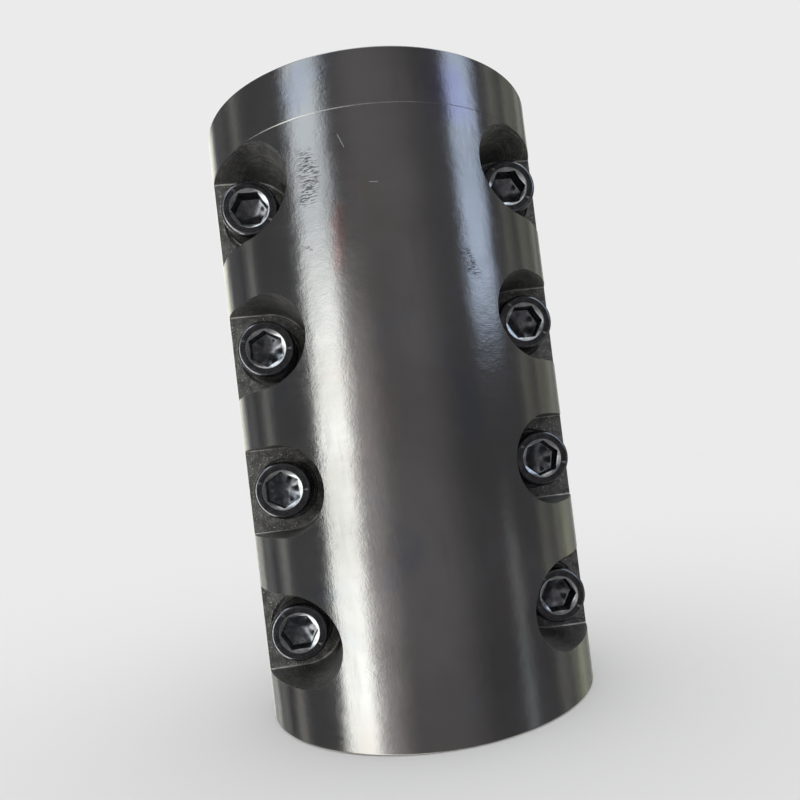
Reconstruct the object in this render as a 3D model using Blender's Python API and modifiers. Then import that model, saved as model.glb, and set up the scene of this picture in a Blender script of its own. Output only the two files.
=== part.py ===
"""Rigid split sleeve coupling: two half shells clamped round two shaft ends by
eight socket head cap screws with spring lock washers, with two parallel keys.

Frame: metres, +Z along the shaft axis, origin on that axis at mid length, where
the two shaft ends meet.  The split plane is Y = 0.  The front half lies at -Y
and carries the screw pockets; the rear half lies at +Y and is tapped.
"""

import math

import bmesh
import bpy
from mathutils import Matrix, Vector

# ---------------------------------------------------------------- dimensions
OUTER_R = 0.055          # sleeve outside radius
LENGTH = 0.193           # sleeve length
BORE_R = 0.025           # bore radius for a 50 mm shaft
SPLIT_GAP = 0.0015       # daylight between the two halves
END_CHAMFER = 0.0006     # chamfer on the outer rims
BORE_CHAMFER = 0.0012    # chamfer on the bore mouths
SLEEVE_STEPS = 96        # facets round the sleeve

SCREW_X = 0.0415         # screw axis to shaft axis, across the split
SCREW_Z = (0.0666, 0.0222, -0.0222, -0.0666)
POCKET_R = 0.0138        # milled screw pocket, half its width
POCKET_FLOOR = 0.0125    # pocket floor to split plane
SEAT_R = 0.0100          # spot-faced washer seat in the pocket floor
SEAT_DEPTH = 0.0019      # pocket floor to washer seat
CLEAR_R = 0.00675        # clearance hole for M12
TAP_R = 0.0062           # tapped hole for M12, modelled plain

HEAD_R = 0.0090          # M12 socket head cap screw
HEAD_H = 0.0120
HEAD_CHAMFER = 0.0011
SOCKET_AF = 0.0100
SOCKET_DEPTH = 0.0060
SHANK_R = 0.0059
SHANK_L = 0.0350
SCREW_CLOCK = {          # hex socket clocking about the screw axis, degrees
    "left": (0.0, 30.0, 30.0, 0.0),
    "right": (0.0, 0.0, 18.0, 0.0),
}

WASHER_IN = 0.0062       # spring lock washer for M12
WASHER_OUT = 0.0090
WASHER_T = 0.0025
WASHER_SLIT = 0.0016

KEY_W = 0.0139           # parallel key for a 50 mm shaft
KEY_H = 0.0090
KEY_L = 0.0800
KEY_INNER_END = 0.0080   # from mid length to the near end of each key
KEYWAY_W = 0.0141
KEYWAY_DEPTH = 0.0038    # beyond the bore radius

GAP = 0.0003             # daylight between pieces that touch on the real object

# ------------------------------------------------------------------- scene
for old in list(bpy.data.objects):
    bpy.data.objects.remove(old, do_unlink=True)


def collection(name):
    made = bpy.data.collections.new(name)
    bpy.context.scene.collection.children.link(made)
    return made


PARTS = collection("rigid_sleeve_coupling")
CUTTERS = collection("cutters")


def material(name, rgb, metallic, roughness):
    made = bpy.data.materials.new(name)
    made.use_nodes = True
    shader = made.node_tree.nodes["Principled BSDF"]
    shader.inputs["Base Color"].default_value = (*rgb, 1.0)
    shader.inputs["Metallic"].default_value = metallic
    shader.inputs["Roughness"].default_value = roughness
    made.diffuse_color = (*rgb, 1.0)
    return made


STEEL = material("blackened_steel", (0.10, 0.10, 0.105), 1.0, 0.28)
SCREW_BLACK = material("black_oxide_screw", (0.045, 0.045, 0.05), 1.0, 0.35)
WASHER_BLACK = material("spring_washer_steel", (0.13, 0.13, 0.13), 1.0, 0.40)
KEY_STEEL = material("bright_key_steel", (0.45, 0.45, 0.46), 1.0, 0.30)


def add(name, mesh, group, mat=None):
    obj = bpy.data.objects.new(name, mesh)
    group.objects.link(obj)
    if mat is not None and not mesh.materials:
        mesh.materials.append(mat)
    if group is CUTTERS:
        obj.hide_render = True
        obj.display_type = "WIRE"
    return obj


def turned(name, profile, steps, group, closed, mat=None):
    """A solid turned about Z from (radius, height) points, listed outer side
    downwards.  An open profile starts and ends on the axis."""
    mesh = bpy.data.meshes.new(name)
    points = [(r, 0.0, h) for r, h in profile]
    edges = [(i, i + 1) for i in range(len(points) - 1)]
    if closed:
        edges.append((len(points) - 1, 0))
    mesh.from_pydata(points, edges, [])
    obj = add(name, mesh, group, mat)
    screw = obj.modifiers.new("turn", "SCREW")
    screw.angle = 2 * math.pi
    screw.steps = screw.render_steps = steps
    screw.use_merge_vertices = True
    screw.merge_threshold = 0.00001
    screw.use_smooth_shade = False
    screw.axis = "Z"
    return obj


def solid(obj, name):
    """The mesh of obj with its modifiers applied; obj itself is removed."""
    bpy.context.view_layer.update()
    graph = bpy.context.evaluated_depsgraph_get()
    mesh = bpy.data.meshes.new_from_object(obj.evaluated_get(graph))
    mesh.name = name
    bpy.data.objects.remove(obj, do_unlink=True)
    work = bmesh.new()
    work.from_mesh(mesh)
    bmesh.ops.remove_doubles(work, verts=work.verts, dist=0.000002)
    bmesh.ops.recalc_face_normals(work, faces=work.faces)
    work.to_mesh(mesh)
    work.free()
    return mesh


def cut(obj, cutter, label):
    made = obj.modifiers.new(label, "BOOLEAN")
    made.operation = "DIFFERENCE"
    made.solver = "EXACT"
    made.object = cutter


def box(name, low, high, group):
    work = bmesh.new()
    bmesh.ops.create_cube(work, size=1.0)
    low, high = Vector(low), Vector(high)
    bmesh.ops.scale(work, vec=high - low, verts=work.verts)
    bmesh.ops.translate(work, vec=(low + high) / 2, verts=work.verts)
    mesh = bpy.data.meshes.new(name)
    work.to_mesh(mesh)
    work.free()
    return add(name, mesh, group)


# The screw axis points along -Y: local +Z of a screw becomes world -Y.
TO_SCREW = Matrix.Rotation(math.radians(90), 4, "X")


def at_screw(side, z, y=0.0, spin=0.0):
    x = SCREW_X if side == "right" else -SCREW_X
    return (
        Matrix.Translation((x, y, z))
        @ TO_SCREW
        @ Matrix.Rotation(math.radians(spin), 4, "Z")
    )


# --------------------------------------------------------------- half shells
H = LENGTH / 2
SLEEVE_PROFILE = [
    (OUTER_R, H - END_CHAMFER),
    (OUTER_R, -H + END_CHAMFER),
    (OUTER_R - END_CHAMFER, -H),
    (BORE_R + BORE_CHAMFER, -H),
    (BORE_R, -H + BORE_CHAMFER),
    (BORE_R, H - BORE_CHAMFER),
    (BORE_R + BORE_CHAMFER, H),
    (OUTER_R - END_CHAMFER, H),
]
REACH = 1.3 * OUTER_R
front = turned("front_half_shell", SLEEVE_PROFILE, SLEEVE_STEPS, PARTS, True, STEEL)
rear = turned("rear_half_shell", SLEEVE_PROFILE, SLEEVE_STEPS, PARTS, True, STEEL)
for shell in (front, rear):
    # half a facet of turn keeps the split plane off the facet edges
    shell.data.transform(Matrix.Rotation(math.pi / SLEEVE_STEPS, 4, "Z"))

cut(
    front,
    box("rear_side", (-REACH, -SPLIT_GAP / 2, -LENGTH), (REACH, REACH, LENGTH), CUTTERS),
    "split",
)
cut(
    rear,
    box("front_side", (-REACH, -REACH, -LENGTH), (REACH, SPLIT_GAP / 2, LENGTH), CUTTERS),
    "split",
)
cut(
    rear,
    box(
        "keyway",
        (-KEYWAY_W / 2, 0.5 * BORE_R, -LENGTH),
        (KEYWAY_W / 2, BORE_R + KEYWAY_DEPTH, LENGTH),
        CUTTERS,
    ),
    "keyway",
)

# Each pocket is a flat-floored slot: round at its inner end, on the screw axis,
# and run out through the side of the sleeve.  One stepped tool then cuts the
# washer seat and the clearance hole.
SEAT_FLOOR = POCKET_FLOOR - SEAT_DEPTH
HEAD_SEAT = SEAT_FLOOR + WASHER_T + 2 * GAP   # underside of the screw head
SEAT_TOOL = [
    (0.0, POCKET_FLOOR + 0.002),
    (SEAT_R, POCKET_FLOOR + 0.002),
    (SEAT_R, SEAT_FLOOR),
    (CLEAR_R, SEAT_FLOOR),
    (CLEAR_R, -0.002),
    (0.0, -0.002),
]
seat_mesh = solid(turned("seat_tool", SEAT_TOOL, 28, CUTTERS, False), "seat_tool")


def pocket_tool(outward):
    """The slot as the hull of two round bars, one on the screw axis and one
    beyond the sleeve's side, in the screw's local frame."""
    work = bmesh.new()
    depth = REACH - POCKET_FLOOR
    for x in (0.0, outward * 0.040):
        bmesh.ops.create_cone(
            work,
            cap_ends=True,
            segments=36,
            radius1=POCKET_R,
            radius2=POCKET_R,
            depth=depth,
            matrix=Matrix.Translation((x, 0.0, POCKET_FLOOR + depth / 2)),
        )
    hull = bmesh.ops.convex_hull(work, input=work.verts)
    loose = set(hull["geom_interior"]) | set(hull["geom_unused"])
    bmesh.ops.delete(
        work, geom=[v for v in loose if isinstance(v, bmesh.types.BMVert)], context="VERTS"
    )
    kept = {g for g in hull["geom"] if isinstance(g, bmesh.types.BMFace)}
    bmesh.ops.delete(work, geom=[f for f in work.faces if f not in kept], context="FACES")
    bmesh.ops.dissolve_limit(
        work, angle_limit=math.radians(1), verts=work.verts, edges=work.edges
    )
    bmesh.ops.recalc_face_normals(work, faces=work.faces)
    mesh = bpy.data.meshes.new("pocket_tool")
    work.to_mesh(mesh)
    work.free()
    return mesh


pocket_mesh = {"left": pocket_tool(-1), "right": pocket_tool(1)}
TAP_TOOL = [(0.0, 0.002), (TAP_R, 0.002), (TAP_R, -REACH), (0.0, -REACH)]
tap_mesh = solid(turned("tap_tool", TAP_TOOL, 20, CUTTERS, False), "tap_tool")
for side in ("left", "right"):
    for number, z in enumerate(SCREW_Z, 1):
        tool = add(f"pocket_tool_{side}_{number}", pocket_mesh[side], CUTTERS)
        tool.matrix_world = at_screw(side, z)
        cut(front, tool, tool.name)
        tool = add(f"seat_tool_{side}_{number}", seat_mesh, CUTTERS)
        tool.matrix_world = at_screw(side, z)
        cut(front, tool, tool.name)
        tool = add(f"tap_tool_{side}_{number}", tap_mesh, CUTTERS)
        tool.matrix_world = at_screw(side, z)
        cut(rear, tool, tool.name)

# ----------------------------------------------------------- cap screw mesh
# Local frame: origin under the head, +Z out of the head, shank along -Z.
SCREW_PROFILE = [
    (0.0, HEAD_H),
    (HEAD_R - HEAD_CHAMFER, HEAD_H),
    (HEAD_R, HEAD_H - HEAD_CHAMFER),
    (HEAD_R, 0.0),
    (SHANK_R, 0.0),
    (SHANK_R, -SHANK_L + 0.0010),
    (SHANK_R - 0.0010, -SHANK_L),
    (0.0, -SHANK_L),
]
blank = turned("cap_screw_blank", SCREW_PROFILE, 20, PARTS, False, SCREW_BLACK)


def hex_socket():
    """Hexagonal socket with a conical floor and a countersunk mouth."""
    radius = SOCKET_AF / math.sqrt(3)
    work = bmesh.new()
    rings = []
    for r, z in ((radius, HEAD_H + 0.004), (radius, HEAD_H - SOCKET_DEPTH)):
        ring = [
            work.verts.new((r * math.sin(a), r * math.cos(a), z))
            for a in (k * math.pi / 3 for k in range(6))
        ]
        rings.append(ring)
    tip = work.verts.new((0.0, 0.0, HEAD_H - SOCKET_DEPTH - 0.0016))
    work.faces.new(rings[0])
    for k in range(6):
        n = (k + 1) % 6
        work.faces.new((rings[0][k], rings[0][n], rings[1][n], rings[1][k]))
        work.faces.new((rings[1][k], rings[1][n], tip))
    bmesh.ops.recalc_face_normals(work, faces=work.faces)
    mesh = bpy.data.meshes.new("hex_socket_tool")
    work.to_mesh(mesh)
    work.free()
    return add("hex_socket_tool", mesh, CUTTERS)


cut(blank, hex_socket(), "socket")
MOUTH = SOCKET_AF / math.sqrt(3) + 0.0002
mouth = turned(
    "socket_mouth_tool",
    [
        (0.0, HEAD_H + 0.001),
        (MOUTH + 0.001, HEAD_H + 0.001),
        (MOUTH - 0.0012, HEAD_H - 0.0012),
        (0.0, HEAD_H - 0.0012),
    ],
    24,
    CUTTERS,
    False,
)
mouth_mesh = solid(mouth, "socket_mouth_tool")
cut(blank, add("socket_mouth_tool", mouth_mesh, CUTTERS), "mouth")
screw_mesh = solid(blank, "cap_screw")

# -------------------------------------------------------- spring lock washer
ring = turned(
    "washer_blank",
    [(WASHER_OUT, WASHER_T), (WASHER_OUT, 0.0), (WASHER_IN, 0.0), (WASHER_IN, WASHER_T)],
    24,
    PARTS,
    True,
    WASHER_BLACK,
)
slit = box(
    "washer_slit",
    (-WASHER_SLIT / 2, 0.0, -0.01),
    (WASHER_SLIT / 2, 0.02, 0.01),
    CUTTERS,
)
for v in slit.data.vertices:  # the cut leans along the coil, as on a rolled washer
    v.co.x += 0.5 * (v.co.z - WASHER_T / 2)
cut(ring, slit, "slit")
washer_mesh = solid(ring, "spring_washer")

for side in ("left", "right"):
    for number, z in enumerate(SCREW_Z, 1):
        screw = add(f"cap_screw_{side}_{number}", screw_mesh, PARTS)
        screw.matrix_world = at_screw(
            side, z, -HEAD_SEAT, SCREW_CLOCK[side][number - 1]
        )
        washer = add(f"spring_washer_{side}_{number}", washer_mesh, PARTS)
        washer.matrix_world = at_screw(
            side,
            z,
            -(SEAT_FLOOR + GAP),
            35.0 + 77.0 * number + (140.0 if side == "right" else 0.0),
        )

# ------------------------------------------------------------ parallel keys
KEY_TOP = BORE_R + KEYWAY_DEPTH - GAP


def key(name, z_mid):
    work = bmesh.new()
    bmesh.ops.create_cube(work, size=1.0)
    bmesh.ops.scale(work, vec=(KEY_W, KEY_H, KEY_L), verts=work.verts)
    ends = [
        e
        for e in work.edges
        if abs((e.verts[0].co - e.verts[1].co).normalized().y) > 0.9
    ]
    bmesh.ops.bevel(
        work,
        geom=ends,
        offset=0.497 * KEY_W,
        offset_type="OFFSET",
        segments=6,
        profile=0.5,
        affect="EDGES",
    )
    mesh = bpy.data.meshes.new(name)
    work.to_mesh(mesh)
    work.free()
    obj = add(name, mesh, PARTS, KEY_STEEL)
    obj.location = (0.0, KEY_TOP - KEY_H / 2, z_mid)
    return obj


key("upper_key", KEY_INNER_END + KEY_L / 2)
key("lower_key", -KEY_INNER_END - KEY_L / 2)
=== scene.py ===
import math

import bmesh
import bpy
from mathutils import Matrix, Vector


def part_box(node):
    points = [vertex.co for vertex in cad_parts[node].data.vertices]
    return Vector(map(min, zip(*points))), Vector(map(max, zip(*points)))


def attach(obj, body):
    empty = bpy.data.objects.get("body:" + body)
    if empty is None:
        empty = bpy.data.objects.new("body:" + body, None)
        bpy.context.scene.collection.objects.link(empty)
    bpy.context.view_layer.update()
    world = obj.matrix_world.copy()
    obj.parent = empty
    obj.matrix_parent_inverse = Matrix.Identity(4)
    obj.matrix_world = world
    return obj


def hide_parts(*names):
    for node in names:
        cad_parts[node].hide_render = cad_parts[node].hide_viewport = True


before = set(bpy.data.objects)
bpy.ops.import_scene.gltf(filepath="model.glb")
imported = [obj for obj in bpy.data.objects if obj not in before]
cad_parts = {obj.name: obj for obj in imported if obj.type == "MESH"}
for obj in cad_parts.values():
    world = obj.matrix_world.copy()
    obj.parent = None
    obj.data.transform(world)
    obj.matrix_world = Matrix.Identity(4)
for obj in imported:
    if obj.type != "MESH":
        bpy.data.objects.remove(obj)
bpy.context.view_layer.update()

# ------------------------------------------------------------ sizes, from the frame
low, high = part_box("front_half_shell")
H = float(high.z)                                # half length
R = 0.05496                                      # outside radius, inside the frame's own
BORE = 0.025
SPLIT = -float(high.y)                           # split face to the plane Y = 0
POCKET_R, POCKET_FLOOR = 0.0138, 0.0125
SEAT_R, SEAT_FLOOR = 0.0100, 0.0106
CLEAR_R, TAP_R = 0.00675, 0.0062
KEYWAY_W, KEYWAY_TOP = 0.0141, 0.0288
LINE_Z = H - 0.0158                              # fine turned witness line round the sleeve
SIDES = ("left", "right")
screw_at, washer_at = {}, {}
for side in SIDES:
    for n in range(1, 5):
        a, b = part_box(f"cap_screw_{side}_{n}")
        screw_at[side, n] = (round((a.x + b.x) / 2, 5), round((a.z + b.z) / 2, 5), float(a.y))
        a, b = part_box(f"spring_washer_{side}_{n}")
        washer_at[side, n] = (float(a.y), float(b.y))
SCREW_X = abs(screw_at["right", 1][0])
PITCH_Z = abs(screw_at["right", 1][1] - screw_at["right", 2][1])

scene = bpy.context.scene
pieces = bpy.data.collections.new("coupling_pieces")
scene.collection.children.link(pieces)


def link(name, mesh):
    o = bpy.data.objects.new(name, mesh)
    pieces.objects.link(o)
    return o


# ------------------------------------------------------------------ node helpers
class Graph:
    def __init__(self, tree):
        self.t = tree

    def node(self, kind, **props):
        n = self.t.nodes.new(kind)
        for k, v in props.items():
            setattr(n, k, v)
        return n

    def put(self, socket, value):
        if hasattr(value, "is_linked"):
            self.t.links.new(value, socket)
        elif value is not None:
            socket.default_value = value

    def math(self, op, a, b=None, c=None, clamp=False):
        n = self.node("ShaderNodeMath", operation=op, use_clamp=clamp)
        for s, v in zip(n.inputs, (a, b, c)):
            self.put(s, v)
        return n.outputs[0]

    def vec(self, x, y, z):
        n = self.node("ShaderNodeCombineXYZ")
        for s, v in zip(n.inputs, (x, y, z)):
            self.put(s, v)
        return n.outputs[0]

    def noise(self, vector, scale, detail=4.0, rough=0.5, distort=0.0):
        n = self.node("ShaderNodeTexNoise")
        self.put(n.inputs["Vector"], vector)
        n.inputs["Scale"].default_value = scale
        n.inputs["Detail"].default_value = detail
        n.inputs["Roughness"].default_value = rough
        n.inputs["Distortion"].default_value = distort
        return n.outputs["Fac"]

    def remap(self, v, a, b, c=0.0, d=1.0, smooth=True):
        n = self.node("ShaderNodeMapRange")
        n.interpolation_type = "SMOOTHSTEP" if smooth else "LINEAR"
        n.clamp = True
        for s, x in zip(n.inputs, (v, a, b, c, d)):
            self.put(s, x)
        return n.outputs[0]

    def band(self, v, a0, a1, b0, b1):
        """0 below a0, 1 from a1 to b0, 0 above b1."""
        return self.math("MULTIPLY", self.remap(v, a0, a1), self.remap(v, b0, b1, 1.0, 0.0))

    def mix(self, fac, a, b, kind="MIX"):
        n = self.node("ShaderNodeMix", data_type="RGBA", blend_type=kind)
        n.clamp_factor = True
        self.put(n.inputs["Factor"], fac)
        for s, v in ((n.inputs[6], a), (n.inputs[7], b)):
            self.put(s, (*v, 1.0) if isinstance(v, tuple) and len(v) == 3 else v)
        return n.outputs[2]

    def bump(self, height, distance, strength=1.0, normal=None):
        n = self.node("ShaderNodeBump")
        n.inputs["Strength"].default_value = strength
        n.inputs["Distance"].default_value = distance
        self.put(n.inputs["Height"], height)
        if normal is not None:
            self.put(n.inputs["Normal"], normal)
        return n.outputs[0]


def new_material(name):
    m = bpy.data.materials.new(name)
    m.use_nodes = True
    g = Graph(m.node_tree)
    b = m.node_tree.nodes["Principled BSDF"]
    b.inputs["Metallic"].default_value = 1.0
    coord = g.node("ShaderNodeTexCoord")
    xyz = g.node("ShaderNodeSeparateXYZ")
    m.node_tree.links.new(coord.outputs["Object"], xyz.inputs[0])
    return m, g, b, coord.outputs["Object"], xyz.outputs


# ---------------------------------------------------------------------- materials
def turned_steel():
    """Outside of the sleeve: turned, blackened, oiled and handled."""
    m, g, b, obj, (x, y, z) = new_material("turned_black_steel")
    theta = g.math("ARCTAN2", x, g.math("MULTIPLY", y, -1.0))
    deg = g.math("MULTIPLY", theta, 180 / math.pi)
    arc = g.math("MULTIPLY", theta, R)
    mm = g.math("MULTIPLY", z, 1000.0)
    # feed marks run round the sleeve: long along the arc, fine along the axis
    lay = g.vec(g.math("MULTIPLY", arc, 26.0), g.math("MULTIPLY", z, 2600.0), 0.0)
    fine = g.noise(lay, 1.0, 3.0, 0.6)
    lay2 = g.vec(g.math("MULTIPLY", arc, 9.0), g.math("MULTIPLY", z, 520.0), 3.1)
    broad = g.noise(lay2, 1.0, 4.0, 0.55)
    grain = g.noise(obj, 1500.0, 3.0, 0.75)
    peel = g.noise(obj, 520.0, 3.0, 0.55)
    wave = g.noise(obj, 90.0, 3.0, 0.5)
    smear = g.noise(g.vec(g.math("MULTIPLY", arc, 190.0), g.math("MULTIPLY", z, 34.0), 7.7), 1.0, 4.0, 0.6)
    dash = g.noise(g.vec(g.math("MULTIPLY", arc, 420.0), g.math("MULTIPLY", z, 2300.0), 1.9), 1.0, 3.0, 0.6)
    cloud = g.noise(obj, 26.0, 4.0, 0.55, 0.4)
    cloud2 = g.noise(g.vec(g.math("ADD", arc, 3.0), 1.0, g.math("MULTIPLY", z, 0.8)), 34.0, 3.0, 0.6, 0.3)

    def spot(d0, d1, z0, z1, soft_d=1.5, soft_z=2.5):
        jag = g.math("MULTIPLY", g.math("SUBTRACT", wave, 0.5), 9.0)
        dd, zz = g.math("ADD", deg, jag), g.math("ADD", mm, jag)
        return g.math("MULTIPLY", g.band(dd, d0 - soft_d, d0 + soft_d, d1 - soft_d, d1 + soft_d),
                      g.band(zz, z0 - soft_z, z0 + soft_z, z1 - soft_z, z1 + soft_z))

    def scratch(d0, z0, d1, z1, width):
        """Thin line between two points given as (degrees round, mm up)."""
        k = math.pi / 180 * R * 1000
        ux, uz = (d1 - d0) * k, z1 - z0
        length = math.hypot(ux, uz)
        ux, uz = ux / length, uz / length
        ax_ = g.math("MULTIPLY", g.math("SUBTRACT", deg, d0), k)
        az_ = g.math("SUBTRACT", mm, z0)
        along = g.math("ADD", g.math("MULTIPLY", ax_, ux), g.math("MULTIPLY", az_, uz))
        off = g.math("ABSOLUTE", g.math("SUBTRACT", g.math("MULTIPLY", ax_, uz), g.math("MULTIPLY", az_, ux)))
        return g.math("MULTIPLY", g.band(along, 0.0, 0.6, length - 0.6, length), g.remap(off, width * 0.4, width, 1.0, 0.0))

    base = g.mix(g.remap(cloud, 0.35, 0.65), (0.142, 0.139, 0.138), (0.172, 0.169, 0.170))
    base = g.mix(g.remap(cloud2, 0.55, 0.72, 0.0, 0.75), base, (0.160, 0.146, 0.142))
    base = g.mix(g.remap(cloud2, 0.42, 0.28, 0.0, 0.65), base, (0.130, 0.140, 0.168))
    base = g.mix(g.remap(smear, 0.56, 0.70, 0.0, 0.18), base, (0.096, 0.094, 0.094))
    base = g.mix(g.math("MULTIPLY", spot(-18, -14.5, 38, 54), 0.5), base, (0.20, 0.120, 0.112))
    base = g.mix(g.math("MULTIPLY", spot(14, 28, 76, 92, 4, 4), 0.5), base, (0.135, 0.125, 0.20))
    stains = g.math("MAXIMUM", spot(-27, -22, 56, 70), spot(20, 24, 31, 40))
    stains = g.math("MAXIMUM", stains, g.math("MULTIPLY", spot(-60, -40, -80, -60), 0.4))
    stains = g.math("MULTIPLY", stains, g.remap(dash, 0.47, 0.55))
    base = g.mix(g.math("MULTIPLY", stains, 0.95), base, (0.035, 0.034, 0.036))
    marks = scratch(-13.2, 73.6, -11.5, 69.4, 0.13)
    for args in ((-6.0, 59.2, -2.8, 58.9, 0.13), (-28.0, 45.4, -24.6, 43.9, 0.16),
                 (120.0, 30.0, 128.0, 24.0, 0.14), (-150.0, 55.0, -144.0, 60.0, 0.13)):
        marks = g.math("MAXIMUM", marks, scratch(*args))
    base = g.mix(g.math("MULTIPLY", marks, 0.45), base, (0.26, 0.255, 0.25))
    line = g.math("ABSOLUTE", g.math("SUBTRACT", z, LINE_Z))
    line = g.math("MULTIPLY", g.remap(line, 0.00010, 0.00019, 1.0, 0.0), g.remap(broad, 0.30, 0.50, 0.35, 1.0))
    # painted highlight: the line is lightened on the left flank only, fully from -41 to -22 degrees round, fading to
    # 0.12 by +16 degrees and gone left of -48
    line = g.math("MULTIPLY", line, g.math("MULTIPLY", g.remap(deg, -22, 16, 1.0, 0.12), g.remap(deg, -48, -41, 0.0, 1.0)))
    base = g.mix(g.math("MULTIPLY", line, 0.7), base, (0.34, 0.335, 0.32))
    g.put(b.inputs["Base Color"], base)
    rough = g.math("ADD", g.remap(broad, 0.3, 0.7, 0.10, 0.135), g.remap(grain, 0.3, 0.75, -0.01, 0.04))
    rough = g.math("ADD", rough, g.remap(smear, 0.5, 0.75, 0.0, 0.04))
    rough = g.math("ADD", rough, g.math("MULTIPLY", g.math("MAXIMUM", marks, line), 0.20))
    g.put(b.inputs["Roughness"], rough)
    n1 = g.bump(fine, 0.000014, 0.6)
    n2 = g.bump(grain, 0.000030, 1.0, n1)
    n3 = g.bump(peel, 0.000016, 0.4, n2)
    n4 = g.bump(wave, 0.0004, 0.35, n3)
    n5 = g.bump(marks, 0.00008, 0.5, n4)
    g.put(b.inputs["Normal"], n5)
    return m


def milled_steel(name, dark, light, fleck):
    """Pocket walls and floors: end-milled, blackened, unpolished."""
    m, g, b, obj, (x, y, z) = new_material(name)
    px = g.math("SUBTRACT", g.math("ABSOLUTE", x), SCREW_X)
    cell = g.math("ROUND", g.math("SUBTRACT", g.math("DIVIDE", z, PITCH_Z), 0.5))
    pz = g.math("SUBTRACT", z, g.math("MULTIPLY", g.math("ADD", cell, 0.5), PITCH_Z))
    # floor: arcs of the cutter, stepping outward
    chord = g.math("SQRT", g.math("MAXIMUM", g.math("SUBTRACT", POCKET_R**2, g.math("MULTIPLY", pz, pz)), 0.0))
    step = g.math("ADD", px, chord)
    wob = g.noise(obj, 160.0, 2.0, 0.5)
    arcs = g.math("SINE", g.math("ADD", g.math("MULTIPLY", step, 2 * math.pi / 0.00085), g.math("MULTIPLY", wob, 3.0)))
    # walls: rings at constant depth, from the cutter's feed
    rings = g.noise(g.vec(g.math("MULTIPLY", px, 30.0), g.math("MULTIPLY", y, 1500.0), g.math("MULTIPLY", pz, 30.0)), 1.0, 3.0, 0.6)
    geo = g.node("ShaderNodeNewGeometry")
    ny = g.node("ShaderNodeSeparateXYZ")
    m.node_tree.links.new(geo.outputs["True Normal"], ny.inputs[0])
    isfloor = g.remap(g.math("ABSOLUTE", ny.outputs[1]), 0.6, 0.9)
    grit = g.noise(obj, 1900.0, 4.0, 0.7)
    lump = g.noise(obj, 330.0, 3.0, 0.6)
    # chatter left by the cutter on the walls: fans out from the far corner
    fan = g.math("SQRT", g.math("ADD", g.math("POWER", g.math("ADD", px, 0.022), 2.0), g.math("POWER", g.math("ADD", y, 0.012), 2.0)))
    chatter = g.noise(g.vec(g.math("MULTIPLY", fan, 2300.0), g.math("MULTIPLY", pz, 40.0), 0.0), 1.0, 2.0, 0.5)
    iswall = g.math("SUBTRACT", 1.0, isfloor)
    height = g.math("ADD", g.math("MULTIPLY", g.math("MULTIPLY", arcs, 0.12), isfloor), g.math("MULTIPLY", rings, 0.6))
    height = g.math("ADD", height, g.math("MULTIPLY", grit, 0.9))
    height = g.math("ADD", height, g.math("MULTIPLY", lump, 0.6))
    height = g.math("ADD", height, g.math("MULTIPLY", g.math("MULTIPLY", chatter, 1.6), iswall))
    base = g.mix(g.remap(lump, 0.35, 0.7), dark, light)
    streak = g.math("MAXIMUM", g.math("MULTIPLY", g.remap(chatter, 0.55, 0.72), iswall), g.math("MULTIPLY", g.remap(arcs, 0.6, 1.0, 0.0, 0.6), isfloor))
    base = g.mix(g.math("MULTIPLY", streak, g.remap(lump, 0.3, 0.6, 0.05, 0.35)), base, fleck)
    base = g.mix(g.remap(grit, 0.56, 0.66, 0.0, 0.9), base, fleck)
    g.put(b.inputs["Base Color"], base)
    b.inputs["Metallic"].default_value = 0.55
    g.put(b.inputs["Roughness"], g.remap(grit, 0.3, 0.7, 0.32, 0.46))
    g.put(b.inputs["Normal"], g.bump(height, 0.00013, 0.9))
    return m


def plain_machined(name, dark, light, r0, r1, scale=900.0, bump=0.00002):
    """Bore, split faces, end faces, holes: machined and oiled."""
    m, g, b, obj, (x, y, z) = new_material(name)
    cloud = g.noise(obj, 60.0, 4.0, 0.6)
    grit = g.noise(obj, scale, 3.0, 0.6)
    radius = g.math("SQRT", g.math("ADD", g.math("MULTIPLY", x, x), g.math("MULTIPLY", y, y)))
    face = g.noise(g.vec(g.math("MULTIPLY", radius, 2400.0), 0.0, g.math("MULTIPLY", z, 1900.0)), 1.0, 2.0, 0.5)
    g.put(b.inputs["Base Color"], g.mix(g.remap(cloud, 0.3, 0.7), dark, light))
    g.put(b.inputs["Roughness"], g.remap(grit, 0.3, 0.7, r0, r1))
    n = g.bump(face, bump, 0.5)
    g.put(b.inputs["Normal"], g.bump(grit, bump, 0.5, n))
    return m


def black_oxide():
    """Alloy steel screw, black oxide, worn bright where edges stand proud."""
    m, g, b, obj, (x, y, z) = new_material("black_oxide_steel")
    mott = g.noise(obj, 420.0, 4.0, 0.6)
    grit = g.noise(obj, 1900.0, 3.0, 0.6)
    geo = g.node("ShaderNodeNewGeometry")
    edge = g.remap(geo.outputs["Pointiness"], 0.515, 0.60)
    worn = g.math("MULTIPLY", edge, g.remap(mott, 0.35, 0.6))
    base = g.mix(g.remap(mott, 0.35, 0.7), (0.034, 0.035, 0.038), (0.066, 0.066, 0.070))
    base = g.mix(worn, base, (0.42, 0.42, 0.43))
    g.put(b.inputs["Base Color"], base)
    rough = g.remap(grit, 0.3, 0.7, 0.16, 0.28)
    g.put(b.inputs["Roughness"], g.math("ADD", rough, g.math("MULTIPLY", worn, -0.04)))
    g.put(b.inputs["Normal"], g.bump(g.math("ADD", grit, mott), 0.000018, 0.5))
    return m


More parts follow.
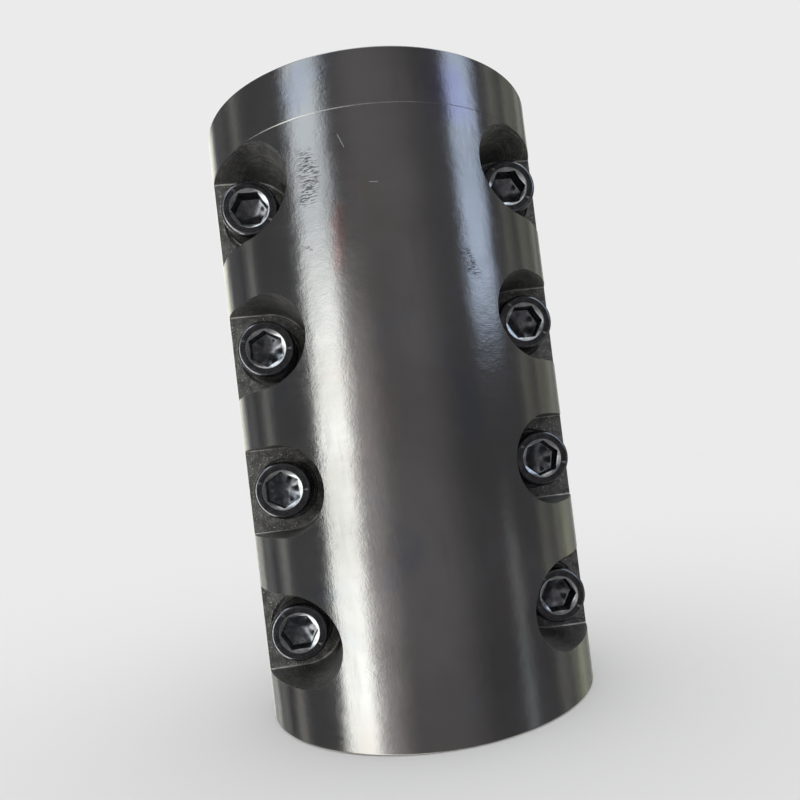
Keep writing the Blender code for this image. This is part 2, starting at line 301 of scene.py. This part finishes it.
def socket_steel(name, dark, light, r0, r1):
    """Broached socket and the countersink cones; the cones are rubbed bright by keys and hands and also painted
    lighter as a highlight on the chamfer.
    """
    m, g, b, obj, (x, y, z) = new_material(name)
    mott = g.noise(obj, 700.0, 3.0, 0.6)
    grit = g.noise(obj, 2600.0, 2.0, 0.6)
    radius = g.math("SQRT", g.math("ADD", g.math("MULTIPLY", x, x), g.math("MULTIPLY", y, y)))
    turn = g.noise(g.vec(g.math("MULTIPLY", radius, 2600.0), 0.0, g.math("MULTIPLY", z, 300.0)), 1.0, 2.0, 0.5)
    b.inputs["Metallic"].default_value = 0.8
    g.put(b.inputs["Base Color"], g.mix(g.remap(mott, 0.3, 0.7), dark, light))
    g.put(b.inputs["Roughness"], g.remap(grit, 0.3, 0.7, r0, r1))
    g.put(b.inputs["Normal"], g.bump(g.math("ADD", grit, turn), 0.000010, 0.5))
    return m


def spring_steel():
    m, g, b, obj, (x, y, z) = new_material("spring_washer_steel")
    mott = g.noise(obj, 500.0, 4.0, 0.6)
    grit = g.noise(obj, 2000.0, 3.0, 0.6)
    g.put(b.inputs["Base Color"], g.mix(g.remap(mott, 0.35, 0.7), (0.16, 0.158, 0.155), (0.32, 0.31, 0.30)))
    g.put(b.inputs["Roughness"], g.remap(grit, 0.3, 0.7, 0.26, 0.42))
    g.put(b.inputs["Normal"], g.bump(grit, 0.00002, 0.5))
    return m


def key_steel():
    m, g, b, obj, (x, y, z) = new_material("bright_key_steel")
    lay = g.noise(g.vec(g.math("MULTIPLY", x, 1500.0), g.math("MULTIPLY", y, 1500.0), g.math("MULTIPLY", z, 25.0)), 1.0, 3.0, 0.6)
    mott = g.noise(obj, 120.0, 4.0, 0.6)
    g.put(b.inputs["Base Color"], g.mix(g.remap(mott, 0.35, 0.7), (0.40, 0.40, 0.41), (0.52, 0.52, 0.53)))
    g.put(b.inputs["Roughness"], g.remap(lay, 0.3, 0.7, 0.22, 0.36))
    g.put(b.inputs["Normal"], g.bump(lay, 0.00001, 0.5))
    return m


OUTSIDE = turned_steel()
MILLED = milled_steel("milled_black_steel", (0.050, 0.049, 0.048), (0.105, 0.104, 0.101), (0.40, 0.395, 0.375))
# lighter copy of the milled steel: edge wear and a painted highlight on the pocket mouth edges, and a painted
# highlight on the fillets round the pocket floors
BRIGHT = milled_steel("edge_wear_and_painted_highlight_steel", (0.20, 0.195, 0.19), (0.36, 0.35, 0.34), (0.62, 0.60, 0.58))
BORED = plain_machined("bored_steel", (0.15, 0.148, 0.145), (0.24, 0.236, 0.23), 0.22, 0.34)
FACED = plain_machined("faced_steel", (0.14, 0.14, 0.14), (0.21, 0.208, 0.205), 0.24, 0.36)
HOLES = plain_machined("drilled_steel", (0.07, 0.066, 0.062), (0.13, 0.122, 0.115), 0.34, 0.48, 1400.0, 0.00004)
OXIDE = black_oxide()
# socket steel, also laid on the crown's edge band as a painted highlight along the rim
SOCKET_AND_RIM_HIGHLIGHT = socket_steel("broached_socket_and_rim_highlight_steel", (0.075, 0.078, 0.088), (0.125, 0.129, 0.140), 0.16, 0.24)
# lighter copy for the countersink cones: key wear plus a painted highlight on the chamfer
CONE_WEAR_AND_HIGHLIGHT = socket_steel("rubbed_cone_and_painted_highlight_steel", (0.17, 0.174, 0.18), (0.28, 0.282, 0.29), 0.10, 0.17)
SPRING = spring_steel()
KEY = key_steel()

# ------------------------------------------------------------------- mesh helpers
TO_SCREW = Matrix.Rotation(math.radians(90), 4, "X")   # local +Z becomes -Y


def at_screw(x, z, y=0.0, spin=0.0):
    return Matrix.Translation((x, y, z)) @ TO_SCREW @ Matrix.Rotation(math.radians(spin), 4, "Z")


def grid_mesh(name, rows, closed_rows=False):
    """A closed mesh from rings of points; the first and last ring are capped."""
    w = bmesh.new()
    rings = [[w.verts.new(p) for p in row] for row in rows]
    count = len(rings[0])
    pairs = list(zip(rings, rings[1:]))
    if closed_rows:
        pairs.append((rings[-1], rings[0]))
    for a, b in pairs:
        for i in range(count):
            j = (i + 1) % count
            if len(a) == 1 and len(b) > 1:
                w.faces.new((a[0], b[i], b[j]))
            else:
                w.faces.new((a[i], b[i], b[j], a[j]))
    if not closed_rows:
        w.faces.new(rings[0][::-1])
        w.faces.new(rings[-1])
    bmesh.ops.recalc_face_normals(w, faces=w.faces)
    mesh = bpy.data.meshes.new(name)
    w.to_mesh(mesh)
    w.free()
    return mesh


def lathe(name, profile, steps):
    """Solid of revolution about Z from (radius, z) pairs, a closed loop."""
    rows = [
        [(r * math.cos(t), r * math.sin(t), h) for r, h in profile]
        for t in (2 * math.pi * (k + 0.5) / steps for k in range(steps))
    ]
    return grid_mesh(name, rows, closed_rows=True)


def bar(name, r, z0, z1, steps=64, phase=0.0):
    rows = [
        [(r * math.cos(t), r * math.sin(t), z) for t in (2 * math.pi * (k + phase) / steps for k in range(steps))]
        for z in (z0, z1)
    ]
    return grid_mesh(name, rows)


def box_mesh(name, lo, hi):
    w = bmesh.new()
    bmesh.ops.create_cube(w, size=1.0)
    lo, hi = Vector(lo), Vector(hi)
    bmesh.ops.scale(w, vec=hi - lo, verts=w.verts)
    bmesh.ops.translate(w, vec=(lo + hi) / 2, verts=w.verts)
    mesh = bpy.data.meshes.new(name)
    w.to_mesh(mesh)
    w.free()
    return mesh


def slot_mesh(name, outward, r, z0, z1, steps=72):
    """Flat-floored slot tool: half round at the axis, straight sides outward."""
    rows = []
    for inset, z in [(FILLET * (1 - math.sin(a)), z0 + FILLET * (1 - math.cos(a))) for a in (0, 0.4, 0.8, 1.2, math.pi / 2)] + [(0.0, z1)]:
        q = r - inset
        pts = [(-outward * q * math.sin(t), q * math.cos(t)) for t in (math.pi * k / steps for k in range(steps + 1))]
        pts += [(outward * 0.04, -q), (outward * 0.04, q)]
        rows.append([(x, y, z) for x, y in pts])
    return grid_mesh(name, rows)


def carve(obj, meshes):
    """Cuts each (mesh, matrix) from obj and bakes the result into its mesh."""
    tools = []
    for i, (mesh, matrix) in enumerate(meshes):
        t = link(f"tool_{i}", mesh)
        t.matrix_world = matrix
        tools.append(t)
        mod = obj.modifiers.new(t.name, "BOOLEAN")
        mod.operation, mod.solver, mod.object = "DIFFERENCE", "EXACT", t
    bpy.context.view_layer.update()
    done = bpy.data.meshes.new_from_object(obj.evaluated_get(bpy.context.evaluated_depsgraph_get()))
    obj.modifiers.clear()
    obj.data = done
    for t in tools:
        bpy.data.objects.remove(t)
    return obj


def finish_piece(obj, angle=28.0, weighted=True):
    me = obj.data
    me.shade_smooth()
    me.set_sharp_from_angle(angle=math.radians(angle))
    if weighted:
        mod = obj.modifiers.new("weighted_normals", "WEIGHTED_NORMAL")
        mod.keep_sharp = True
        mod.weight = 60
    return obj


# ------------------------------------------------------------------------ sleeve
STEPS = 360
RIM = 0.0005
FILLET = 0.0007              # left in the pocket corner by the cutter


def arc_corner(r, z, sr, sz, size, n=4):
    """Rounded outer corner from the cylinder to the end face."""
    out = []
    for k in range(n + 1):
        t = math.pi / 2 * k / n
        out.append((r - size + size * math.cos(t), z - sz * size + sz * size * math.sin(t)))
    return out if sr > 0 else out[::-1]


profile = arc_corner(R, H, -1, 1, RIM)                       # end face to outside, top
profile += [
    (R, LINE_Z + 0.00015), (R - 0.00006, LINE_Z + 0.00004), (R - 0.00006, LINE_Z - 0.00004), (R, LINE_Z - 0.00015),
]
profile += arc_corner(R, -H, 1, -1, RIM)                     # outside to end face, bottom
profile += [(BORE + 0.0012, -H), (BORE, -H + 0.0012), (BORE, H - 0.0012), (BORE + 0.0012, H)]

BIG = 0.09
front = link("front_half_shell_body", lathe("front_half_shell_body", profile, STEPS))
rear = link("rear_half_shell_body", lathe("rear_half_shell_body", profile, STEPS))

ID = Matrix.Identity(4)
front_tools = [(box_mesh("t", (-BIG, -SPLIT, -0.2), (BIG, BIG, 0.2)), ID)]
rear_tools = [
    (box_mesh("t", (-BIG, -BIG, -0.2), (BIG, SPLIT, 0.2)), ID),
    (box_mesh("t", (-KEYWAY_W / 2, 0.012, -0.2), (KEYWAY_W / 2, KEYWAY_TOP, 0.2)), ID),
]
pocket = {s: slot_mesh("t", o, POCKET_R, POCKET_FLOOR, BIG) for s, o in (("left", -1), ("right", 1))}
seat = bar("t", SEAT_R, SEAT_FLOOR, POCKET_FLOOR + 0.002, 72)
clear = bar("t", CLEAR_R, -0.002, SEAT_FLOOR + 0.002, 48)


def thread_tool(name, major, depth, pitch, z0, z1, steps=40, per=6):
    """A bar with a 60 degree thread, capped at both ends."""
    rows = []
    count = int(round((z1 - z0) / pitch * per))
    for k in range(count + 1):
        z = z0 + (z1 - z0) * k / count
        row = []
        for i in range(steps):
            t = 2 * math.pi * i / steps
            u = (z / pitch - t / (2 * math.pi)) % 1.0
            cut = min(1.0, max(0.0, (abs(u - 0.5) * 2 - 0.10) / 0.75))
            row.append(((major - depth * cut) * math.cos(t), (major - depth * cut) * math.sin(t), z))
        rows.append(row)
    return grid_mesh(name, rows)


tapped = thread_tool("t", TAP_R + 0.0008, 0.0008, 0.00175, -0.0262, 0.004)
runout = bar("t", TAP_R + 0.00085, -0.052, -0.0256, 48)
leadin = bar("t", TAP_R + 0.00085, -0.0020, 0.004, 48)
def dent(deg_round, z, radius, depth):
    w = bmesh.new()
    bmesh.ops.create_uvsphere(w, u_segments=20, v_segments=12, radius=radius)
    mesh = bpy.data.meshes.new("t")
    w.to_mesh(mesh)
    w.free()
    t = math.radians(deg_round)
    k = R + radius - depth
    return mesh, Matrix.Translation((k * math.sin(t), -k * math.cos(t), z)) @ Matrix.Rotation(t, 4, "Z") @ Matrix.Diagonal((1.2, 1.0, 0.7, 1.0))


front_tools += [dent(-26.2, 0.0445, 0.0011, 0.00022), dent(-25.0, 0.0437, 0.0007, 0.00014)]
for side in SIDES:
    for n in range(1, 5):
        x, z, _ = screw_at[side, n]
        front_tools += [(pocket[side], at_screw(x, z)), (seat, at_screw(x, z)), (clear, at_screw(x, z))]
        rear_tools += [(tapped, at_screw(x, z))]
        rear_tools += [(runout, at_screw(x, z)), (leadin, at_screw(x, z))]
carve(front, front_tools)
carve(rear, rear_tools)


def nearest_pocket(p):
    side = "right" if p.x > 0 else "left"
    return min(((abs(screw_at[side, n][1] - p.z), screw_at[side, n]) for n in range(1, 5)), key=lambda q: q[0])[1]


def break_edges(obj, rules):
    """Bevels the edges that each rule picks, widest first."""
    w = bmesh.new()
    w.from_mesh(obj.data)
    bmesh.ops.remove_doubles(w, verts=w.verts, dist=0.000004)
    bmesh.ops.dissolve_degenerate(w, dist=0.000004, edges=w.edges)
    for pick, offset, segments in rules:
        w.normal_update()
        edges = [e for e in w.edges if len(e.link_faces) == 2 and e.calc_face_angle(0) > math.radians(25) and pick(e)]
        bmesh.ops.bevel(
            w, geom=edges, offset=offset, offset_type="OFFSET", segments=segments, profile=0.5,
            affect="EDGES", clamp_overlap=True, loop_slide=True, material=-1,
        )
    bmesh.ops.recalc_face_normals(w, faces=w.faces)
    w.to_mesh(obj.data)
    w.free()


def on_outside(v):
    return abs(math.hypot(v.co.x, v.co.y) - R) < 0.00006


def mouth_edge(e):
    return all(on_outside(v) for v in e.verts) and abs(e.verts[0].co.z) < H - RIM * 1.2 and abs(e.verts[1].co.z) < H - RIM * 1.2 and not all(
        abs(abs(v.co.z - LINE_Z)) < 0.0003 for v in e.verts
    )


def inner_edge(e):
    """Edges down in the pocket: floor to seat, seat to hole."""
    return all(
        math.hypot(v.co.x, v.co.y) < R - 0.0008 and math.hypot(v.co.x, v.co.y) > BORE + 0.004 and -0.0128 < v.co.y < -0.004
        for v in e.verts
    ) and abs(e.verts[0].co.y - e.verts[1].co.y) < 1e-5 and math.hypot(
        e.verts[0].co.x - nearest_pocket(e.verts[0].co)[0], e.verts[0].co.z - nearest_pocket(e.verts[0].co)[1]
    ) < SEAT_R + 0.0004


break_edges(front, [(mouth_edge, 0.00028, 2), (inner_edge, 0.00015, 1)])


def paint(obj, mats, chooser):
    obj.data.materials.clear()
    for m in mats:
        obj.data.materials.append(m)
    for p in obj.data.polygons:
        p.material_index = chooser(p)


def front_mat(p):
    c, n = p.center, p.normal
    r = math.hypot(c.x, c.y)
    if abs(abs(c.z) - H) < 0.00005:
        return 3
    if abs(c.y + SPLIT) < 0.00005 and abs(n.y) > 0.9:
        return 3
    if r < BORE + 0.0013 and abs(n.z) < 0.9 and (n.x * c.x + n.y * c.y) < 0:
        return 2
    verts = [obj_verts[i].co for i in p.vertices]
    out_ = (n.x * c.x + n.y * c.y) / r
    # pocket mouth bevels take the lighter steel: edge wear plus painted highlight
    if all(math.hypot(v.x, v.y) > R - 0.0005 for v in verts) and 0.2 < out_ < 0.985 and abs(c.z) < H - 0.001 and abs(c.z - LINE_Z) > 0.0004:
        return 5
    if all(math.hypot(v.x, v.y) > R - 0.0009 for v in verts) and out_ > 0.55:
        return 0
    # fillets round the pocket floors take the lighter steel as a painted highlight
    if -POCKET_FLOOR - FILLET - 0.00002 < c.y < -POCKET_FLOOR + 0.00002 and 0.25 < abs(n.y) < 0.97:
        return 5
    sx, sz, _ = nearest_pocket(c)
    if math.hypot(c.x - sx, c.z - sz) < CLEAR_R + 0.0002 and c.y > -SEAT_FLOOR + 0.0001:
        return 4
    if abs(c.z) > H - 0.0009 and r > R - 0.0009:
        return 0
    return 1


obj_verts = front.data.vertices
paint(front, (OUTSIDE, MILLED, BORED, FACED, HOLES, BRIGHT), front_mat)


def rear_mat(p):
    c, n = p.center, p.normal
    r = math.hypot(c.x, c.y)
    if abs(abs(c.z) - H) < 0.00005 or (abs(c.y - SPLIT) < 0.00005 and abs(n.y) > 0.9):
        return 3
    if r < KEYWAY_TOP + 0.0006 and abs(c.x) < 0.026 and (r < BORE + 0.0013 or abs(c.x) < KEYWAY_W / 2 + 0.0001) and c.y < KEYWAY_TOP + 0.0001:
        return 2
    if r > R - 0.0009 and (n.x * c.x + n.y * c.y) / r > 0.55:
        return 0
    return 4


paint(rear, (OUTSIDE, MILLED, BORED, FACED, HOLES), rear_mat)
for o, body, node in ((front, "front_half", "front_half_shell"), (rear, "rear_half", "rear_half_shell")):
    finish_piece(o)
    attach(o, body)
    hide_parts(node)

# -------------------------------------------------------------------- cap screws
HEAD_R, HEAD_H, FLAT_R = 0.0090, 0.0120, 0.0079
AF, DEPTH, MOUTH = 0.0100, 0.0060, 0.00625
SHANK, SHANK_L, PITCH = 0.0059, 0.0350, 0.00175
SEG = 144


def cap_screw_mesh():
    ang = [2 * math.pi * k / SEG for k in range(SEG)]

    def hexr(t):
        return (AF / 2) / math.cos(((t + math.pi / 6) % (math.pi / 3)) - math.pi / 6)

    rows = []

    def ring(rf, zf):
        rows.append([(rf(t) * math.sin(t), rf(t) * math.cos(t), zf(t)) for t in ang])

    def const(v):
        return lambda t: v

    top = HEAD_H
    floor = top - DEPTH
    # socket: drilled dimple, hexagonal walls, countersunk mouth
    ring(const(0.00025), const(floor - 0.00195))
    ring(const(0.0022), const(floor - 0.0011))
    ring(const(0.0041), const(floor - 0.00035))
    ring(lambda t: hexr(t) - 0.0007, const(floor - 0.00012))
    ring(lambda t: hexr(t) - 0.00012, const(floor + 0.0001))
    ring(hexr, const(floor + 0.0005))
    ring(hexr, lambda t: top - (MOUTH - hexr(t)) * 0.58 - 0.0004)
    ring(lambda t: hexr(t) + 0.00003, lambda t: top - (MOUTH - hexr(t)) * 0.58)
    ring(const(MOUTH - 0.00003), const(top - 0.00004))
    ring(const(MOUTH + 0.00012), const(top))
    ring(const(0.0069), const(top))
    # chamfered crown, easing over at the knurl
    ring(const(FLAT_R), const(top))
    ring(const(FLAT_R + 0.00008), const(top - 0.00002))
    ring(const(FLAT_R + 0.00046), const(top - 0.00019))
    ring(const(FLAT_R + 0.00080), const(top - 0.00055))
    ring(const(HEAD_R - 0.00014), const(top - 0.00105))
    # straight knurl
    ridge = [0.0, 0.00022, 0.00006]

    def knurl(t):
        return HEAD_R - ridge[int(round(t / (2 * math.pi) * SEG)) % 3]

    ring(const(HEAD_R - 0.00012), const(top - 0.00135))
    ring(knurl, const(top - 0.0017))
    ring(knurl, const(0.0011))
    ring(const(HEAD_R - 0.00010), const(0.0008))
    ring(const(HEAD_R - 0.00014), const(0.00022))
    ring(const(HEAD_R - 0.00034), const(0.0))
    ring(const(SHANK + 0.0007), const(0.0))
    ring(const(SHANK + 0.00015), const(-0.0005))
    ring(const(SHANK), const(-0.0010))
    # rolled thread to the chamfered point
    depth, per, start = 0.00085, 6, -0.0016
    count = int((SHANK_L + start - 0.0001) / PITCH * per)
    for k in range(count + 1):
        z = start - (SHANK_L + start - 0.0001) * k / count
        run_in = min(1.0, (start - z) / 0.0026)
        tip = max(0.0, (z + SHANK_L) - 0.0)
        cone = max(0.0, 0.0012 - tip)

        def rr(t, z=z, run_in=run_in, cone=cone):
            u = ((z - 0.0) / PITCH + t / (2 * math.pi)) % 1.0
            cut = min(1.0, max(0.0, (abs(u - 0.5) * 2 - 0.12) / 0.70))
            return min(SHANK - depth * cut * run_in, SHANK - cone)

        ring(rr, const(z))
    ring(const(SHANK - 0.0013), const(-SHANK_L))
    ring(const(0.0015), const(-SHANK_L))
    return grid_mesh("cap_screw", rows)


CLOCK = {"left": (0.0, 30.0, 30.0, 0.0), "right": (0.0, 0.0, 18.0, 0.0)}
screw_mesh = cap_screw_mesh()
for mat in (OXIDE, SOCKET_AND_RIM_HIGHLIGHT, CONE_WEAR_AND_HIGHLIGHT):
    screw_mesh.materials.append(mat)
for face in screw_mesh.polygons:
    rad, up = math.hypot(face.center.x, face.center.y), face.center.z
    if rad < 0.0062 and up > 0.0035:
        # upward-facing countersink cone gets the lighter steel: key wear plus painted highlight
        cone = face.normal.z > 0.4 and up > HEAD_H - 0.0012 and rad > 0.0049
        face.material_index = 2 if cone else 1
    # narrow band at the crown's edge takes the lighter socket steel: a painted highlight along the rim
    elif FLAT_R < rad < FLAT_R + 0.00047 and up > HEAD_H - 0.0003:
        face.material_index = 1
screw_mesh.shade_smooth()
screw_mesh.set_sharp_from_angle(angle=math.radians(32))
for side in SIDES:
    for n in range(1, 5):
        x, z, y_top = screw_at[side, n]
        o = link(f"cap_screw_{side}_{n}_detail", screw_mesh)
        o.matrix_world = at_screw(x, z, y_top + HEAD_H, CLOCK[side][n - 1])
        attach(o, f"screw_{side}_{n}")
        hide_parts(f"cap_screw_{side}_{n}")

# ---------------------------------------------------------------- spring washers
def washer_mesh():
    inner, outer, thick = 0.0062, 0.0090, 0.00245
    half_gap = 0.0009
    steps = 120
    c = 0.00018
    section = [
        (inner, c), (inner + c, 0.0), (outer - c, 0.0), (outer, c),
        (outer, thick - c), (outer - c, thick), (inner + c, thick), (inner, thick - c),
    ]
    rows = []
    for k in range(steps + 1):
        f = k / steps
        row = []
        for r, h in section:
            lean = (h - thick / 2) * 0.45
            t = (half_gap + lean) / r + (2 * math.pi - 2 * half_gap / r) * f
            rise = 0.00005 * (2 * f - 1)
            row.append((r * math.cos(t), r * math.sin(t), h + rise))
        rows.append(row)
    return grid_mesh("spring_washer", rows)


ring_mesh = washer_mesh()
ring_mesh.materials.append(SPRING)
ring_mesh.shade_smooth()
ring_mesh.set_sharp_from_angle(angle=math.radians(30))
for side in SIDES:
    for n in range(1, 5):
        x, z, _ = screw_at[side, n]
        y_front, y_back = washer_at[side, n]
        o = link(f"spring_washer_{side}_{n}_detail", ring_mesh)
        o.matrix_world = at_screw(x, z, y_back, 125.0 + 77.0 * n + (140.0 if side == "right" else 0.0))
        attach(o, f"washer_{side}_{n}")
        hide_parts(f"spring_washer_{side}_{n}")

# -------------------------------------------------------------------------- keys
for name in ("upper_key", "lower_key"):
    lo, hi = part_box(name)
    w_, h_, l_ = hi.x - lo.x, hi.y - lo.y, hi.z - lo.z
    rad = w_ / 2
    outline = [(rad * math.cos(t), l_ / 2 - rad + rad * math.sin(t)) for t in (math.pi * k / 24 for k in range(25))]
    outline += [(-px, -pz) for px, pz in outline]
    rows = []
    for inset, yy in ((0.0005, 0.0), (0.00015, 0.00012), (0.0, 0.0005), (0.0, h_ - 0.0005), (0.00015, h_ - 0.00012), (0.0005, h_)):
        row = []
        for px, pz in outline:
            zc = math.copysign(l_ / 2 - rad, pz)
            k = (rad - inset) / rad
            row.append((px * k, yy, zc + (pz - zc) * k))
        rows.append(row)
    o = link(f"{name}_detail", grid_mesh(f"{name}_detail", rows))
    o.data.materials.append(KEY)
    o.location = ((lo.x + hi.x) / 2, lo.y, (lo.z + hi.z) / 2)
    finish_piece(o, 30.0)
    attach(o, "rear_half")
    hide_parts(name)

# ------------------------------------------------------------------ camera, stage
cam_data = bpy.data.cameras.new("camera")
cam_data.sensor_width = 36.0
cam_data.lens = 29.0565
cam_data.shift_x, cam_data.shift_y = -0.01444, 0.05481
cam_data.clip_start, cam_data.clip_end = 0.01, 50.0
cam = bpy.data.objects.new("camera", cam_data)
scene.collection.objects.link(cam)
right = Vector((0.98863097, -0.08994897, -0.1204906))
down = Vector((-0.11850042, 0.02716715, -0.99258229))
ahead = Vector((0.09255514, 0.99557578, 0.01619929))
place = Matrix((
    (right.x, -down.x, -ahead.x, -0.01875207),
    (right.y, -down.y, -ahead.y, -0.22901255),
    (right.z, -down.z, -ahead.z, -0.0159775),
    (0, 0, 0, 1),
))
cam.matrix_world = place
scene.camera = cam

floor_mesh = bpy.data.meshes.new("floor")
w = bmesh.new()
bmesh.ops.create_grid(w, x_segments=1, y_segments=1, size=6.0)
w.to_mesh(floor_mesh)
w.free()
floor = bpy.data.objects.new("floor", floor_mesh)
scene.collection.objects.link(floor)
floor.location = (0, 0, -H - 0.0002)
floor.visible_glossy = False
fm = bpy.data.materials.new("pale_floor")
fm.use_nodes = True
fb = fm.node_tree.nodes["Principled BSDF"]
fg = Graph(fm.node_tree)
fc = fg.node("ShaderNodeTexCoord")
fb.inputs["Roughness"].default_value = 1.0
fb.inputs["Specular IOR Level"].default_value = 0.0
fg.put(fb.inputs["Base Color"], fg.mix(fg.noise(fc.outputs["Object"], 3.0, 2.0), (0.825, 0.825, 0.825), (0.835, 0.835, 0.835)))
floor_mesh.materials.append(fm)

# ------------------------------------------------------------------------- light
world = bpy.data.worlds.new("studio")
scene.world = world
world.use_nodes = True
world.cycles.sampling_method = "NONE"
wt = world.node_tree
for nd in list(wt.nodes):
    wt.nodes.remove(nd)
g = Graph(wt)
coord = g.node("ShaderNodeTexCoord")
sep = g.node("ShaderNodeSeparateXYZ")
wt.links.new(coord.outputs["Generated"], sep.inputs[0])
dx, dy, dz = sep.outputs
CAM_AZ = math.radians(-4.681)
fwd = g.math("ADD", g.math("MULTIPLY", dx, math.sin(CAM_AZ)), g.math("MULTIPLY", dy, -math.cos(CAM_AZ)))
side_ = g.math("ADD", g.math("MULTIPLY", dx, math.cos(CAM_AZ)), g.math("MULTIPLY", dy, math.sin(CAM_AZ)))
az = g.math("MULTIPLY", g.math("ARCTAN2", side_, fwd), 180 / math.pi)
el = g.math("MULTIPLY", g.math("ARCSINE", dz), 180 / math.pi)

env = g.mix(g.band(az, -30, -5, 15, 45), (0.24, 0.238, 0.25), (0.46, 0.445, 0.445))
env = g.mix(g.remap(az, -55, -65), env, (0.25, 0.255, 0.26))
env = g.mix(g.remap(az, 88, 98), env, (0.33, 0.335, 0.31))


def add_glow(env, mask, colour):
    return g.mix(1.0, env, g.mix(mask, (0, 0, 0), colour), "ADD")


def product(*masks):
    out = masks[0]
    for m in masks[1:]:
        out = g.math("MULTIPLY", out, m)
    return out


low_part = g.remap(el, 8, 24, 1.0, 0.0)
high_part = g.remap(el, 8, 24)
lean = g.math("MULTIPLY", el, 0.20)              # the tall window leans with the camera
waz = g.math("SUBTRACT", az, lean)
main_edge = g.band(waz, -60.5, -56.5, -40, -30)
env = add_glow(env, product(main_edge, low_part), (5.2, 5.35, 5.05))
env = add_glow(env, product(main_edge, high_part), (2.5, 2.75, 2.9))
env = add_glow(env, product(g.band(waz, -47, -37, -33, -6), low_part), (1.30, 1.25, 1.20))
env = add_glow(env, product(g.band(az, 57, 60, 77, 82), g.remap(el, 9, 13)), (1.80, 2.20, 2.80))
env = add_glow(env, product(g.band(az, 62, 65, 69, 72), g.remap(el, -4, -10)), (0.45, 0.52, 0.52))
# stripes: shelves and uprights of the room, seen edge-on in the flanks
ribs = g.noise(g.vec(g.math("MULTIPLY", az, 0.17), g.math("MULTIPLY", el, 0.006), 4.0), 1.0, 3.0, 0.65)
ribs = g.remap(ribs, 0.41, 0.60, 0.35, 1.9)
flank = g.math("MAXIMUM", g.remap(az, -92, -100), g.remap(az, 88, 98))
ribs = g.math("ADD", g.math("MULTIPLY", g.math("SUBTRACT", ribs, 1.0), flank), 1.0)
env = add_glow(env, g.band(az, -107, -104, -99, -96), (0.34, 0.34, 0.32))
env = add_glow(env, g.remap(az, -134, -142), (0.72, 0.71, 0.62))
env = add_glow(env, g.band(az, 116, 120, 132, 137), (0.12, 0.13, 0.06))
env = add_glow(env, g.remap(az, 150, 158), (0.10, 0.10, 0.07))
env = g.mix(1.0, env, g.vec(ribs, ribs, g.math("SUBTRACT", g.math("MULTIPLY", ribs, 0.9), -0.1)), "MULTIPLY")
env = add_glow(env, g.remap(el, 36, 58), (1.5, 1.55, 1.6))
env = add_glow(env, product(g.remap(az, 6, -50), g.remap(el, -30, -50)), (0.7, 0.69, 0.64))

path = g.node("ShaderNodeLightPath")
not_glossy = g.mix(path.outputs["Is Camera Ray"], (1.0, 1.0, 1.0), (0.8305, 0.8305, 0.8305))
not_glossy = g.mix(path.outputs["Is Glossy Ray"], not_glossy, env)
bg = g.node("ShaderNodeBackground")
wt.links.new(not_glossy, bg.inputs["Color"])
out = g.node("ShaderNodeOutputWorld")
wt.links.new(bg.outputs[0], out.inputs[0])

box = bpy.data.lights.new("left_softbox", "AREA")
box.shape, box.size, box.size_y, box.energy = "RECTANGLE", 0.9, 1.2, 75.0
box_obj = bpy.data.objects.new("left_softbox", box)
scene.collection.objects.link(box_obj)
place_at = Vector((-1.50, -0.48, -0.40))
box_obj.matrix_world = Matrix.Translation(place_at) @ (-place_at).to_track_quat("-Z", "Y").to_matrix().to_4x4()
box_obj.visible_glossy = False
box_obj.visible_camera = False
box_obj.light_linking.receiver_collection = pieces

scene.view_settings.view_transform = "Standard"
scene.view_settings.look = "None"
